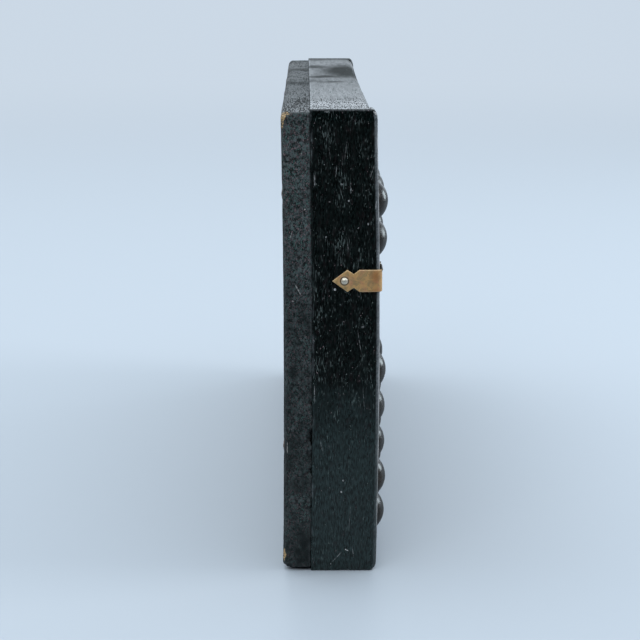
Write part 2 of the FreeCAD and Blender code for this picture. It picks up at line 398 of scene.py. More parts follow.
def scratch(tree, centre, size, angle):
    """1 inside a thin ellipse on the end face, at (y, z) in metres, with half sizes in millimetres."""
    where = add(tree, "TexCoord").outputs["Object"]
    settings = {"Vector": where, "Location": (left_post_low.x, *centre),
                "Rotation": (math.radians(angle), 0, 0), "Scale": (1.2 * MM, size[0] * MM, size[1] * MM)}
    local = add(tree, "Mapping", settings, vector_type="TEXTURE").outputs[0]
    length = add(tree, "VectorMath", {0: local}, operation="LENGTH").outputs["Value"]
    return fade(tree, length, 0.6, 1.0, 1.0, 0.0)


def scratched(tree, marks, paint, colour):
    """Paint with a list of scratches over it, each a little broken."""
    total = None
    for across, up, half_width, half_length, angle, strength in marks:
        centre = (left_post_low.y + across * MM, left_post_low.z + up * MM)
        mark = times(tree, scratch(tree, centre, (half_width, half_length), angle), strength)
        total = mark if total is None else maths(tree, "MAXIMUM", total, mark)
    broken = fade(tree, speckle(tree, (0.6, 0.6, 0.8), 2.0, 0.6, (8, 3, 1)), 0.40, 0.58, 0.15, 1.0)
    return blend(tree, times(tree, total, broken), paint, colour)


# Scratches and specks on the left end: y, z and half sizes in mm from the post's low corner, angle, strength
POST_MARKS = (
    (14.9, 103.2, 0.5, 0.5, 0, 1.0), (11.8, 34.1, 0.4, 0.4, 0, 1.0), (12.5, 29.8, 0.4, 0.4, 0, 0.9),
    (10.6, 7.9, 0.24, 0.9, -66, 1.0), (13.9, 5.4, 0.18, 3.2, 42, 0.45), (16.2, 2.6, 0.3, 0.3, 0, 0.6),
    (1.0, 132.5, 0.26, 1.7, 8, 0.5), (17.9, 164.1, 0.9, 0.3, 0, 0.5), (8.3, 7.2, 0.16, 2.8, -6, 0.3),
    (11.4, 151.0, 0.14, 4.5, 7, 0.2), (12.6, 147.0, 0.12, 3.0, 5, 0.16), (2.4, 144.0, 0.16, 2.6, 18, 0.4),
    (16.8, 150.0, 0.12, 3.0, -8, 0.18), (14.6, 144.0, 0.18, 2.4, 6, 0.35), (9.6, 137.5, 0.35, 1.2, 3, 0.35),
    (6.3, 84.0, 0.16, 5.6, -9, 0.28), (10.5, 118.0, 0.18, 2.2, -8, 0.3), (4.8, 64.0, 0.14, 5.0, -4, 0.18),
    (9.5, 20.0, 0.13, 6.0, 4, 0.18), (19.6, 47.0, 0.16, 3.5, -12, 0.25), (21.9, 141.0, 0.3, 2.5, -2, 0.5),
    (22.0, 66.0, 0.2, 4.0, 1, 0.4), (18.0, 121.5, 0.35, 0.35, 0, 0.9), (10.3, 134.0, 0.35, 0.35, 0, 0.8),
    (3.6, 126.0, 0.3, 0.5, 0, 0.7), (5.2, 90.0, 0.7, 0.5, -30, 0.25), (12.8, 139.6, 0.4, 0.4, 0, 0.9),
)
BOARD_MARKS = (
    (27.6, 103.0, 0.28, 2.8, -28, 0.6), (31.6, 46.0, 0.25, 3.2, 0, 0.6), (29.4, 99.0, 0.3, 0.3, 0, 0.6),
    (25.2, 131.0, 0.35, 0.35, 0, 0.8), (26.3, 150.0, 0.35, 0.35, 0, 0.7), (30.0, 122.0, 0.25, 1.4, 20, 0.5),
)


def black_lacquer(name, grain, marks=()):
    """Old black lacquer on open grain: dusty pores, pits with painted shade, and rubbed edges with painted
    highlight.
    """
    material, tree = start_material(name)
    stretch = 1.0 if grain == Z_AXIS else 3.6
    smear = speckle(tree, along(grain, 0.5, 1.5 * stretch), 3.0, 0.65, distortion=0.4)
    fine = speckle(tree, along(grain, 0.32, 1.9 * stretch), 1.0, 0.5, (9, 1, 2), 0.5)
    cluster = speckle(tree, along(grain, 4.5, 9.0 * stretch), 3.0, 0.6)
    tint = speckle(tree, along(grain, 1.1, 2.5 * stretch), 1.0, 0.5, (4, 8, 8))
    density = fade(tree, painted(tree, "pores"), 0.0, 1.0, -0.12, 0.0)
    lifted = plus(tree, plus(tree, fine, times(tree, cluster, 0.55)), density)
    pores = fade(tree, lifted, 0.90, 1.03)
    tone = speckle(tree, along(grain, 1.6, 14.0), 3.0, 0.6, (3, 5, 7))
    paint = blend(tree, fade(tree, smear, 0.42, 0.72), (0.0006, 0.0018, 0.0016), (0.0100, 0.0190, 0.0175))
    paint = blend(tree, fade(tree, tint, 0.55, 0.72, 0.0, 0.5), paint, (0.0150, 0.0095, 0.0105))
    # Paler and greener towards the foot of the posts
    paler_foot_mix = times(tree, painted(tree, "paler_foot"), fade(tree, fine, 0.34, 0.66, 0.08, 0.72))
    paint = blend(tree, paler_foot_mix, paint, (0.036, 0.062, 0.062))
    paint = blend(tree, times(tree, pores, 0.85), paint, (0.105, 0.135, 0.128))
    dots = fade(tree, speckle(tree, (0.62, 0.62, 0.85), 1.0, 0.5, (3, 3, 8)), 0.735, 0.775)
    dots = times(tree, dots, painted(tree, "pores"), clamp=True)
    dot_colour = blend(tree, fade(tree, tint, 0.50, 0.56), (0.23, 0.27, 0.25), (0.26, 0.19, 0.20))
    paint = blend(tree, dots, paint, dot_colour)
    dash = speckle(tree, along(X_AXIS, 0.42, 3.4), 2.0, 0.6, (6, 6, 1))
    sparse = maths(tree, "SUBTRACT", times(tree, painted(tree, "pits"), 0.18), 0.16)
    pits = fade(tree, plus(tree, dash, sparse), 0.545, 0.585)
    pits = times(tree, pits, fade(tree, painted(tree, "pits"), 0.0, 0.15))
    # Near black in the pits: open pores, darkened as painted shade inside them
    paint = blend(tree, times(tree, pits, 0.95), paint, (0.0006, 0.0010, 0.0010))
    worn = painted(tree, "wear")
    scuffs = speckle(tree, (0.9, 0.9, 0.9), 3.0, 0.6, (1, 9, 4))
    # Lighter edges: rubbed paint and painted highlight
    rubbed_and_lit_edges = times(tree, worn, fade(tree, scuffs, 0.38, 0.62, 0.5, 1.0), clamp=True)
    paint = blend(tree, times(tree, rubbed_and_lit_edges, 0.85), paint, (0.178, 0.194, 0.205))
    # Pale grey beside the post's front arris: painted highlight where the rounded arris catches the light
    paint = blend(tree, times(tree, painted(tree, "arris_highlight"), 0.8), paint, (0.42, 0.42, 0.42))
    if marks:
        paint = scratched(tree, marks, paint, (0.55, 0.55, 0.55))
    holes = maths(tree, "MAXIMUM", pits, pores)
    rough = plus(tree, fade(tree, tone, 0.3, 0.75, 0.24, 0.34), times(tree, holes, 0.7))
    rough = plus(tree, rough, times(tree, painted(tree, "dull"), 0.5), clamp=True)
    height = maths(tree, "SUBTRACT", times(tree, tone, 0.4), holes)
    inputs = {"Base Color": paint, "Roughness": rough, "Specular IOR Level": 0.42}
    finish_material(tree, inputs, height, 0.03 * MM if grain == Z_AXIS else 0.015 * MM)
    return material


def black_board(name):
    """Thinner, duller black on coarse board, with speckled end grain."""
    material, tree = start_material(name)
    at_end = painted(tree, "end")
    streaks = speckle(tree, along(X_AXIS, 1.3, 55.0), 4.0, 0.6, distortion=0.5)
    blotch = speckle(tree, (45.0, 20.0, 26.0), 4.0, 0.6, (1, 1, 6), 0.8)
    drawn = blend(tree, fade(tree, streaks, 0.30, 0.72), (0.016, 0.023, 0.023), (0.048, 0.058, 0.059))
    drawn = blend(tree, fade(tree, blotch, 0.42, 0.66, 0.0, 0.75), drawn, (0.060, 0.062, 0.060))
    speck = speckle(tree, (1.0, 0.85, 1.05), 4.0, 0.75, (4, 4, 4))
    tint = speckle(tree, (2.0, 1.1, 1.3), 3.0, 0.65, (7, 1, 3))
    crumbs = speckle(tree, (0.62, 0.5, 0.62), 1.0, 0.5, (9, 2, 7))
    paint = blend(tree, fade(tree, speck, 0.42, 0.63), (0.0035, 0.0085, 0.0080), (0.112, 0.138, 0.138))
    paint = blend(tree, fade(tree, tint, 0.50, 0.66, 0.0, 0.7), paint, (0.066, 0.044, 0.048))
    paint = blend(tree, fade(tree, crumbs, 0.60, 0.70, 0.0, 0.9), paint, (0.180, 0.125, 0.132))
    paint = blend(tree, fade(tree, crumbs, 0.30, 0.40, 0.9, 0.0), paint, (0.072, 0.150, 0.132))
    paint = blend(tree, at_end, drawn, paint)
    broad = speckle(tree, (14.0, 9.0, 11.0), 3.0, 0.6, (7, 1, 3))
    # Painted shade, darker towards the bottom of the board, and grime round the nails on its back
    shade = times(tree, fade(tree, broad, 0.34, 0.62, 0.45, 1.0), painted(tree, "low_shade_and_grime"), clamp=True)
    paint = blend(tree, shade, paint, (0.006, 0.0105, 0.0105))
    pore = speckle(tree, along(X_AXIS, 0.42, 3.4), 2.0, 0.6, (2, 6, 1))
    cluster = speckle(tree, along(X_AXIS, 5.0, 18.0), 3.0, 0.6, (5, 2, 2))
    crowded = plus(tree, times(tree, cluster, 0.35), times(tree, painted(tree, "pits"), 0.085))
    open_grain = fade(tree, plus(tree, pore, crowded), 0.735, 0.775)
    open_grain = times(tree, open_grain, maths(tree, "SUBTRACT", 1.0, at_end))
    # Near black in the open grain: painted shade inside the pores
    paint = blend(tree, times(tree, open_grain, 0.9), paint, (0.0015, 0.0020, 0.0020))
    scuffs = speckle(tree, (0.8, 0.8, 0.8), 3.0, 0.6, (1, 9, 4))
    # Lighter edges: rubbed paint and painted highlight
    rubbed_and_lit_edges = times(tree, painted(tree, "wear"), fade(tree, scuffs, 0.4, 0.62, 0.2, 1.0), clamp=True)
    paint = blend(tree, times(tree, rubbed_and_lit_edges, 0.6), paint, (0.11, 0.115, 0.12))
    paint = scratched(tree, BOARD_MARKS, paint, (0.50, 0.48, 0.46))
    ragged = plus(tree, painted(tree, "bare"), times(tree, scuffs, 0.5))
    flecks = fade(tree, speckle(tree, (0.8, 0.42, 0.42), 1.0, 0.5, (3, 7, 2)), 0.42, 0.47)
    bare = times(tree, fade(tree, ragged, 0.78, 0.88), flecks)
    colour = blend(tree, bare, paint, blend(tree, scuffs, (0.66, 0.44, 0.21), (0.38, 0.25, 0.12)))
    grain = add(tree, "Mix", {"Factor": at_end, 2: streaks, 3: speck}, data_type="FLOAT").outputs[0]
    pits = maths(tree, "MAXIMUM", open_grain, times(tree, fade(tree, speck, 0.50, 0.62), at_end))
    rough = plus(tree, fade(tree, grain, 0.3, 0.7, 0.42, 0.50), times(tree, pits, 0.5))
    rough = plus(tree, rough, times(tree, painted(tree, "dull"), 0.3), clamp=True)
    height = plus(tree, grain, times(tree, scuffs, 0.3))
    height = maths(tree, "SUBTRACT", height, times(tree, open_grain, 1.5))
    inputs = {"Base Color": colour, "Roughness": rough, "Specular IOR Level": 0.35}
    finish_material(tree, inputs, height, 0.1 * MM)
    return material


def bead_lacquer(name):
    """Dark brown lacquered beads, a little rubbed, with faint layers of grain."""
    material, tree = start_material(name)
    own = add(tree, "ObjectInfo").outputs["Random"]
    figure = speckle(tree, (2.4, 2.4, 0.55), 3.0, 0.55, distortion=0.6)
    mottle = speckle(tree, (6.0, 6.0, 6.0), 3.0, 0.6, (5, 8, 2))
    colour = blend(tree, fade(tree, figure, 0.36, 0.68), (0.0042, 0.0048, 0.0046), (0.0190, 0.0140, 0.0100))
    colour = blend(tree, fade(tree, mottle, 0.45, 0.7, 0.0, 0.5), colour, (0.0100, 0.0125, 0.0122))
    colour = blend(tree, times(tree, own, 0.3), colour, (0.024, 0.0170, 0.0115))
    rub = times(tree, painted(tree, "wear"), fade(tree, mottle, 0.4, 0.65, 0.1, 0.5), clamp=True)
    colour = blend(tree, rub, colour, (0.060, 0.045, 0.032))
    rough = fade(tree, mottle, 0.3, 0.75, 0.19, 0.30)
    inputs = {"Base Color": colour, "Roughness": rough, "Specular IOR Level": 0.34}
    finish_material(tree, inputs, figure, 0.03 * MM)
    return material


def bamboo(name):
    """Split bamboo: fine fibres along the rod, darker at the nodes."""
    material, tree = start_material(name)
    fibre = speckle(tree, (0.25, 0.25, 9.0), 3.0, 0.6)
    stain = speckle(tree, (3.0, 3.0, 16.0), 3.0, 0.6, (2, 3, 8))
    colour = blend(tree, fade(tree, fibre, 0.3, 0.7), (0.115, 0.062, 0.028), (0.27, 0.165, 0.075))
    colour = blend(tree, fade(tree, stain, 0.45, 0.7, 0.0, 0.6), colour, (0.085, 0.048, 0.024))
    colour = blend(tree, painted(tree, "wear"), colour, (0.060, 0.034, 0.018))
    inputs = {"Base Color": colour, "Roughness": fade(tree, fibre, 0.3, 0.7, 0.30, 0.48)}
    finish_material(tree, inputs, fibre, 0.04 * MM)
    return material


def aged_brass(name):
    """Old brass: brown and pinkish tarnish, brighter along the edges as rubbed brass and painted highlight.
    """
    material, tree = start_material(name)
    tarnish = speckle(tree, (2.2, 2.2, 2.2), 4.0, 0.6, distortion=0.8)
    pink = speckle(tree, (3.4, 3.4, 3.0), 3.0, 0.55, (6, 1, 9))
    grit = speckle(tree, (0.35, 0.35, 0.35), 2.0, 0.6, (2, 2, 5))
    colour = blend(tree, fade(tree, tarnish, 0.38, 0.62), (0.74, 0.44, 0.175), (0.46, 0.305, 0.140))
    colour = blend(tree, fade(tree, pink, 0.50, 0.68, 0.0, 0.8), colour, (0.70, 0.33, 0.17))
    colour = blend(tree, fade(tree, grit, 0.60, 0.72, 0.0, 0.6), colour, (0.16, 0.105, 0.060))
    colour = blend(tree, times(tree, painted(tree, "rust"), 0.8), colour, (0.48, 0.19, 0.055))
    # Brighter edges and tip: rubbed brass, and painted highlight
    colour = blend(tree, times(tree, painted(tree, "wear"), 0.65), colour, (0.80, 0.60, 0.36))
    # Dark round the tacks and under the curled edges: painted shade, with some grime in the rings
    colour = blend(tree, painted(tree, "shade_and_grime"), colour, (0.035, 0.024, 0.014))
    rough = fade(tree, tarnish, 0.3, 0.7, 0.38, 0.56)
    inputs = {"Base Color": colour, "Roughness": rough, "Metallic": 0.32}
    finish_material(tree, inputs, plus(tree, tarnish, times(tree, grit, 0.4)), 0.08 * MM)
    return material


def bright_tack(name):
    """A nearly clean brass tack head, darkened round its foot by painted shade and grime."""
    material, tree = start_material(name)
    shade_and_grime = painted(tree, "wear")
    spots = speckle(tree, (0.5, 0.5, 0.5), 3.0, 0.6)
    colour = blend(tree, fade(tree, spots, 0.4, 0.7), (0.92, 0.87, 0.74), (0.70, 0.62, 0.46))
    colour = blend(tree, shade_and_grime, colour, (0.045, 0.034, 0.022))
    inputs = {"Base Color": colour, "Roughness": fade(tree, spots, 0.3, 0.7, 0.25, 0.4), "Metallic": 0.55}
    finish_material(tree, inputs, spots, 0.04 * MM)
    return material


def old_steel(name):
    """Dull nail heads with brown rust."""
    material, tree = start_material(name)
    rust = speckle(tree, (1.1, 1.1, 1.1), 4.0, 0.65)
    colour = blend(tree, fade(tree, rust, 0.42, 0.62), (0.34, 0.33, 0.32), (0.17, 0.070, 0.030))
    inputs = {"Base Color": colour, "Roughness": fade(tree, rust, 0.35, 0.65, 0.36, 0.8), "Metallic": 0.7}
    finish_material(tree, inputs, rust, 0.08 * MM)
    return material


# Pieces --------

FRAME_BODY = "frame"
left_post_low, left_post_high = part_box("end_post_left")
frame_z = (left_post_low.z, left_post_high.z)
frame_height = frame_z[1] - frame_z[0]
inner_span = (left_post_high.x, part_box("end_post_right")[0].x)
board_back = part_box("backboard")[1].y

lacquer_upright = black_lacquer("black_lacquer_upright", Z_AXIS, POST_MARKS)
lacquer_long = black_lacquer("black_lacquer_long", X_AXIS)
board_paint = black_board("black_board_paint")
bead_finish = bead_lacquer("bead_lacquer")
rod_bamboo = bamboo("rod_bamboo")
strap_brass = aged_brass("aged_brass")
tack_brass = bright_tack("tack_brass")
nail_steel = old_steel("nail_steel")

# Width and height of the posts' rounded corners, on the bead side and at the board
POST_CORNER = (2.2 * MM, 3.3 * MM)
SEAM_CORNER = (0.25 * MM, 0.25 * MM)

# How far each post is worn back on the bead side, and the heights where the wear starts and is full
POST_WEAR = {"end_post_left": (0.7 * MM, 0.10, 0.155), "end_post_right": (1.1 * MM, 0.05, 0.16)}

# A knock low on the left end: y and z from the post's low corner, radius and depth
KNOCK = (11.6 * MM, 8.4 * MM, 1.1 * MM, 0.45 * MM)


def end_posts():
    """Both uprights, with rounded corners on the bead side and a chipped edge at the board."""
    corners = {(-1, -1): POST_CORNER, (-1, 1): POST_CORNER, (1, -1): SEAM_CORNER, (1, 1): SEAM_CORNER}
    spacing = ((0.25 * MM, 0.8 * MM), (0.22 * MM, 0.45 * MM), (0.25 * MM, 0.6 * MM))
    for name, outer_in, seed in (("end_post_left", 1, 100), ("end_post_right", -1, 200)):

        def end_radius(at_edge, outwards, into_x):
            if into_x != outer_in:
                return np.full(len(at_edge), 0.3 * MM)
            height = (at_edge[:, 2] - frame_z[0]) / frame_height
            chips = ramp(layered_noise(at_edge / (3.2 * MM), seed + 7), 0.15, 0.9)
            low_down = 0.25 + 0.75 * ramp(height, 0.08, 0.2) * (1 - ramp(height, 0.36, 0.46))
            front = 0.95 + 0.15 * ramp(height, 0.1, 0.5) + 0.15 * chips
            radius = np.where(outwards[:, 1] < -0.5, front, 0.45 + 0.35 * chips)
            return np.where(outwards[:, 1] > 0.5, 0.30 + 0.6 * chips * low_down, radius) * MM

        def marks(raw, low, high, rub):
            height = (raw[:, 2] - low[2]) / (high[2] - low[2])
            from_front = raw[:, 1] - low[1]
            from_outer = raw[:, 0] - low[0] if outer_in > 0 else high[0] - raw[:, 0]
            from_end = np.minimum(raw[:, 0] - low[0], high[0] - raw[:, 0])
            from_tip = np.minimum(raw[:, 2] - low[2], high[2] - raw[:, 2])
            # Lighter strip up the front arris: worn paint, and painted highlight where it catches the light
            front = ramp(from_front + from_end, 1.40 * MM, 0.90 * MM) * (0.9 + 0.3 * rub)
            front *= 0.3 + 0.7 * ramp(height, 0.15, 0.5)
            seam = hill(high[1] - raw[:, 1] + from_end, 0.5 * MM) * ramp(rub, 0.0, 0.5)
            wear = np.max([front, 0.4 * hill(from_tip + from_end, 0.5 * MM), 0.6 * seam], axis=0)
            # A pale line on the front face beside the outer arris: painted highlight
            arris_highlight = ramp(from_outer, 0.3 * MM, 0.6 * MM) * ramp(from_outer, 1.3 * MM, 1.0 * MM)
            arris_highlight *= (from_front < 0.05 * MM) * (0.80 + 0.4 * rub) * ramp(np.abs(height - 0.53), 0.45, 0.40)
            pores = 0.40 + 0.60 * ramp(height + 0.05 * rub, 0.30, 0.48)
            paler_foot = 1 - ramp(height + 0.05 * rub, 0.28, 0.46)
            return {"pores": pores, "wear": np.clip(wear, 0, 1), "arris_highlight": np.clip(arris_highlight, 0, 1), "paler_foot": paler_foot}

        def reshape(points, raw, low, high):
            wear, start, full = POST_WEAR[name]
            points[:, 1] += wear * ramp(raw[:, 2], start, full) * ramp(raw[:, 1], -5 * MM, low[1])
            if name == "end_post_left":
                across, up, radius, depth = KNOCK
                away = np.hypot(raw[:, 1] - low[1] - across, raw[:, 2] - low[2] - up)
                points[:, 0] += depth * hill(away, radius) * (raw[:, 0] < low[0] + 0.1 * MM)

        timber(name, lacquer_upright, corners, end_radius, spacing, Z_AXIS, seed, marks=marks,
               reshape=reshape)


def rails_and_beam():
    """The two rails, rounded towards the beads, and the beam between them."""
    spacing = ((0.5 * MM, 1.0 * MM), (0.35 * MM, 0.8 * MM), (0.35 * MM, 0.8 * MM))
    wide, slim, beam_edge, back = ((size * MM, size * MM) for size in (4.0, 1.5, 0.7, 0.2))
    top = {(-1, 1): wide, (-1, -1): slim, (1, 1): back, (1, -1): back}
    bottom = {(-1, -1): wide, (-1, 1): slim, (1, 1): back, (1, -1): back}
    beam = dict.fromkeys(top, beam_edge)

    def end_radius(at_edge, outwards, into_x):
        return np.full(len(at_edge), 0.2 * MM)

    def top_marks(raw, low, high, rub):
        reach = (raw[:, 0] - low[0]) / (high[0] - low[0])
        return {"pores": 1.15 - 0.7 * ramp(reach, 0.12, 0.45)}

    def top_reshape(points, raw, low, high):
        """Draws the bead side in half way along the top rail, and out towards its right end."""
        reach = raw[:, 0] / high[0]
        bend = 0.35 * (1 - reach**2) - 0.5 * ramp(reach, 0.3, 1.0)
        points[:, 1] += bend * MM * ramp(raw[:, 1], high[1] - 6 * MM, low[1] + 6 * MM)

    for name, corners, seed, marks, reshape in (
        ("top_rail", top, 300, top_marks, top_reshape),
        ("bottom_rail", bottom, 400, None, None),
        ("divider_beam", beam, 500, None, None),
    ):
        timber(name, lacquer_long, corners, end_radius, spacing, X_AXIS, seed, inner_span,
               marks, reshape)


NAIL_RADIUS = 1.9 * MM
NAIL_HEIGHT = 0.30 * MM
NAIL_SUNK = 0.08 * MM
NAIL_INSET = 4.45 * MM
RAIL_NAIL_X = (-102, -34, 34, 102)
POST_NAIL_Z = (46, 136)


def nail_places():
    """(x, z) of the twelve nails in the back: four along each rail and two up each post."""
    rail_z = (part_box("bottom_rail")[0].z + NAIL_INSET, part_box("top_rail")[1].z - NAIL_INSET)
    places = [(x * MM, z) for z in rail_z for x in RAIL_NAIL_X]
    post_x = (left_post_low.x + left_post_high.x) / 2
    return places + [(side * -post_x, z * MM) for side in (-1, 1) for z in POST_NAIL_Z]


# Where bare wood shows on the board: share of its length, share of its height and half sizes in mm
WORN_SPOTS = (
    (0.0, 1.0, (5, 2.9, 6.0)), (0.0, 0.030, (3, 1.5, 2.4)),
    (1.0, 0.99, (6, 2.8, 4.4)), (1.0, 0.015, (5, 2.0, 3.5)),
)


def back_board():
    """The backboard, with chipped edges, corners worn to the bare wood and hollows round the nails."""
    back, seam = (2.3 * MM, 2.3 * MM), (0.2 * MM, 0.2 * MM)
    corners = {(1, -1): back, (1, 1): back, (-1, -1): seam, (-1, 1): seam}
    spacing = ((0.3 * MM, 1.5 * MM), (0.3 * MM, 0.5 * MM), (0.3 * MM, 0.95 * MM))

    def end_radius(at_edge, outwards, into_x):
        chips = ramp(layered_noise(at_edge / (1.7 * MM), 611), 0.0, 0.55)
        height = (at_edge[:, 2] - frame_z[0]) / frame_height
        broken = ramp(height, 0.10, 0.22) * (1 - ramp(height, 0.36, 0.42))
        corner = ramp(np.abs(height - 0.5), 0.485, 0.5) * (at_edge[:, 1] > board_back - 3 * MM)
        radius = np.where(outwards[:, 1] > 0.5, 1.1, 0.45) + 0.5 * chips + 1.2 * corner
        return np.where(outwards[:, 1] < -0.5, 0.35 + (0.3 + 1.9 * broken) * chips, radius) * MM

    def marks(raw, low, high, rub):
        bare = np.zeros(len(raw))
        for reach_x, reach_z, size in WORN_SPOTS:
            spot = low + (high - low) * (reach_x, 1.0, reach_z)
            away = np.abs(raw - spot) / (np.array(size) * MM)
            bare = np.maximum(bare, 1.55 - (away**0.75).sum(1) + 0.2 * rub)
        end = ramp(np.minimum(raw[:, 0] - low[0], high[0] - raw[:, 0]), 1.2 * MM, 0.2 * MM)
        # Painted shade, darker towards the bottom and darkest at the foot, and grime round the nails
        low_shade_and_grime = 0.72 - 0.60 * ramp(raw[:, 2], 75 * MM, 140 * MM) + 0.2 * rub
        low_shade_and_grime += 0.25 * ramp(raw[:, 2], 35 * MM, 10 * MM)
        for x, z in nail_places():
            ring = hill(np.hypot(raw[:, 0] - x, raw[:, 2] - z), 3.4 * MM)
            low_shade_and_grime = np.maximum(low_shade_and_grime, 1.1 * ring * (raw[:, 1] > high[1] - 1 * MM))
        return {"bare": np.clip(bare, 0, 1), "end": end, "low_shade_and_grime": low_shade_and_grime}

    def hammered(points, raw, low, high):
        at_back = raw[:, 1] > high[1] - 1 * MM
        for x, z in nail_places():
            hollow = np.exp(-(np.hypot(raw[:, 0] - x, raw[:, 2] - z) / (3.6 * MM)) ** 4) * at_back
            points[:, 1] += hollow * (high[1] - 0.2 * MM - bend_at(raw[:, 2]) - points[:, 1])

    timber("backboard", board_paint, corners, end_radius, spacing, X_AXIS, 600, marks=marks,
           reshape=hammered)


def lathe(profile, segments):
    """Points and quads of an outline of (radius, height) turned about Z. A closed outline makes a ring."""
    angles = np.arange(segments) * (2 * math.pi / segments)
    radius, height = np.array(profile).T
    points = np.stack([
        np.outer(np.cos(angles), radius), np.outer(np.sin(angles), radius), np.tile(height, (segments, 1))
    ], -1).reshape(-1, 3)
    count = len(profile)
    here = np.arange(segments)[:, None] * count + np.arange(count)[None, :]
    there = np.roll(here, -1, axis=0)
    quads = np.stack([here, there, np.roll(there, -1, axis=1), np.roll(here, -1, axis=1)], -1)
    return points, quads.reshape(-1, 4)


def capped_lathe(profile, segments):
    """Points and faces of an outline whose two ends stop near the axis, closed there by flat caps."""
    points, quads = lathe(profile, segments)
    quads = quads.reshape(segments, -1, 4)[:, :-1].reshape(-1, 4)
    count = len(profile)
    caps = [list(range(0, len(points), count))[::-1], list(range(count - 1, len(points), count))]
    return points, [*quads.tolist(), *caps]


def arc(centre, radius, start, stop, count):
    """Points of an arc in (radius, height), between two angles in degrees."""
    angles = np.radians(np.linspace(start, stop, count))
    return [(centre[0] + radius * math.cos(a), centre[1] + radius * math.sin(a)) for a in angles]


BEAD_BORE = 2.72 * MM
BEAD_SLACK = 0.28 * MM
BEAD_EDGE = 0.8 * MM
BEAD_BORE_EDGE = 0.4 * MM
BEAD_RIM_SHARE = 0.656
BEAD_SEGMENTS = 64


def bead_profile(radius, thickness):
    """A closed outline: out along the bottom, round the rim, in along the top and down the bore."""
    half = thickness / 2
    rim = radius * BEAD_RIM_SHARE
    centre = radius - rim
    lift = half - BEAD_EDGE
    inset = math.sqrt((rim - BEAD_EDGE) ** 2 - lift**2)
    turn = math.degrees(math.atan2(lift, inset))
    flat_in, flat_out = BEAD_BORE + BEAD_BORE_EDGE, centre + inset
    flat = [flat_in + (flat_out - flat_in) * share for share in (0.33, 0.67)]
    outline = arc((flat_in, -half + BEAD_BORE_EDGE), BEAD_BORE_EDGE, 180, 270, 5)
    outline += [(r, -half) for r in flat]
    outline += arc((flat_out, -lift), BEAD_EDGE, -90, -turn, 6)
    outline += arc((centre, 0), rim, -turn, turn, 21)[1:]
    outline += arc((flat_out, lift), BEAD_EDGE, turn, 90, 6)[1:]
    outline += [(r, half) for r in reversed(flat)]
    outline += arc((flat_in, half - BEAD_BORE_EDGE), BEAD_BORE_EDGE, 90, 180, 5)
    return outline


def beads(deck, rod_number, nodes, body, random):
    """The beads of one deck on one rod, each a little different, stacked up from where they rest."""
    rod_low, rod_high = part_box(f"rod_{rod_number}")
    centre = (rod_low + rod_high) / 2
    bead_low, bead_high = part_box(nodes[-1])
    floor_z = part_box(nodes[0])[0].z
    for number in range(1, BEADS[deck] + 1):
        thickness = (bead_high.z - bead_low.z) * random.uniform(0.982, 1.0)
        radius = (bead_high.x - bead_low.x) / 2 * random.uniform(0.982, 1.004)
        points, quads = lathe(bead_profile(radius, thickness), BEAD_SEGMENTS)
        rough = layered_noise(points / (5.0 * MM), 700 + rod_number * 10 + number) * 0.06 * MM
        points += point_normals(points, quads) * rough[:, None]
        distance = np.hypot(points[:, 0], points[:, 1])
        rim = hill(distance - radius, 0.5 * MM)
        edge = hill(np.abs(points[:, 2]) - thickness / 2 + 0.5 * MM, 0.5 * MM)
        wear = np.clip(0.35 * rim + 0.5 * edge * (distance > 4 * MM), 0, 1)
        turn = random.uniform(0, 2 * math.pi)
        points = points @ np.array(Euler((0, 0, turn)).to_matrix()).T
        points += (centre.x + random.uniform(-BEAD_SLACK, BEAD_SLACK),
                   centre.y + random.uniform(-BEAD_SLACK, BEAD_SLACK), floor_z + thickness / 2)
        floor_z += thickness
        node = nodes[number == BEADS[deck]]
        name = f"{deck}_bead_{rod_number}_{number}"
        new_piece(name, points, quads, bead_finish, body, (node,), {"wear": wear})


def all_beads():
    random = np.random.default_rng(17)
    for n in range(1, ROD_COUNT + 1):
        beads("heaven", n, (f"heaven_lower_{n}", f"heaven_upper_{n}"), f"heaven_beads_{n}", random)
        beads("earth", n, (f"earth_lower_{n}", f"earth_top_{n}"), f"earth_beads_{n}", random)


ROD_NODE_WIDTH = 0.9 * MM
ROD_SEGMENTS = 28


def rods():
    """Nine bamboo rods, not quite round, with two slight nodes each."""
    random = np.random.default_rng(5)
    for n in range(1, ROD_COUNT + 1):
        name = f"rod_{n}"
        low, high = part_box(name)
        radius = (high.x - low.x) / 2
        length = high.z - low.z
        heights = np.linspace(0, length, 150)
        node_at = random.uniform(0.1, 0.35) * length + np.array([0, 0.52]) * length
        ring = sum(hill(heights - at, ROD_NODE_WIDTH) for at in node_at)
        shape = [(radius * (0.97 + 0.03 * r), z) for r, z in zip(ring, heights)]
        profile = [(0.05 * MM, 0.0), *shape, (0.05 * MM, length)]
        points, faces = capped_lathe(profile, ROD_SEGMENTS)
        wobble = layered_noise(points / (1.2 * MM, 1.2 * MM, 18 * MM), 900 + n, 2) * 0.05 * MM
        points[:, :2] *= (1 + wobble / radius)[:, None]
        wear = np.interp(points[:, 2], heights, ring) * 0.7
        points += ((low.x + high.x) / 2, (low.y + high.y) / 2, low.z)
        new_piece(name, points, faces, rod_bamboo, FRAME_BODY, (name,), {"wear": wear})


# Brass --------

STRAP_THICKNESS = 0.7 * MM
STRAP_RIM = 0.16 * MM
STRAP_TIP_LIFT = 0.3 * MM
STRAP_CURL = 0.35 * MM
BEND_RADIUS = 1.2 * MM
# Shape of the barbed point: distances from the tip in mm, with the share of the full width there
STRAP_OUTLINE = ((0.0, 0.03), (5.1, 1.0), (7.3, 0.62), (9.2, 1.0))
TACK_RADIUS = 1.28 * MM
TACK_HEIGHT = 0.7 * MM
TIP_TO_TACK = 4.1 * MM


def half_width(from_tip, widest):
    """Half the strap's width at a distance from its pointed tip."""
    at, share = np.array(STRAP_OUTLINE).T
    return widest * np.interp(from_tip, at * MM, share)


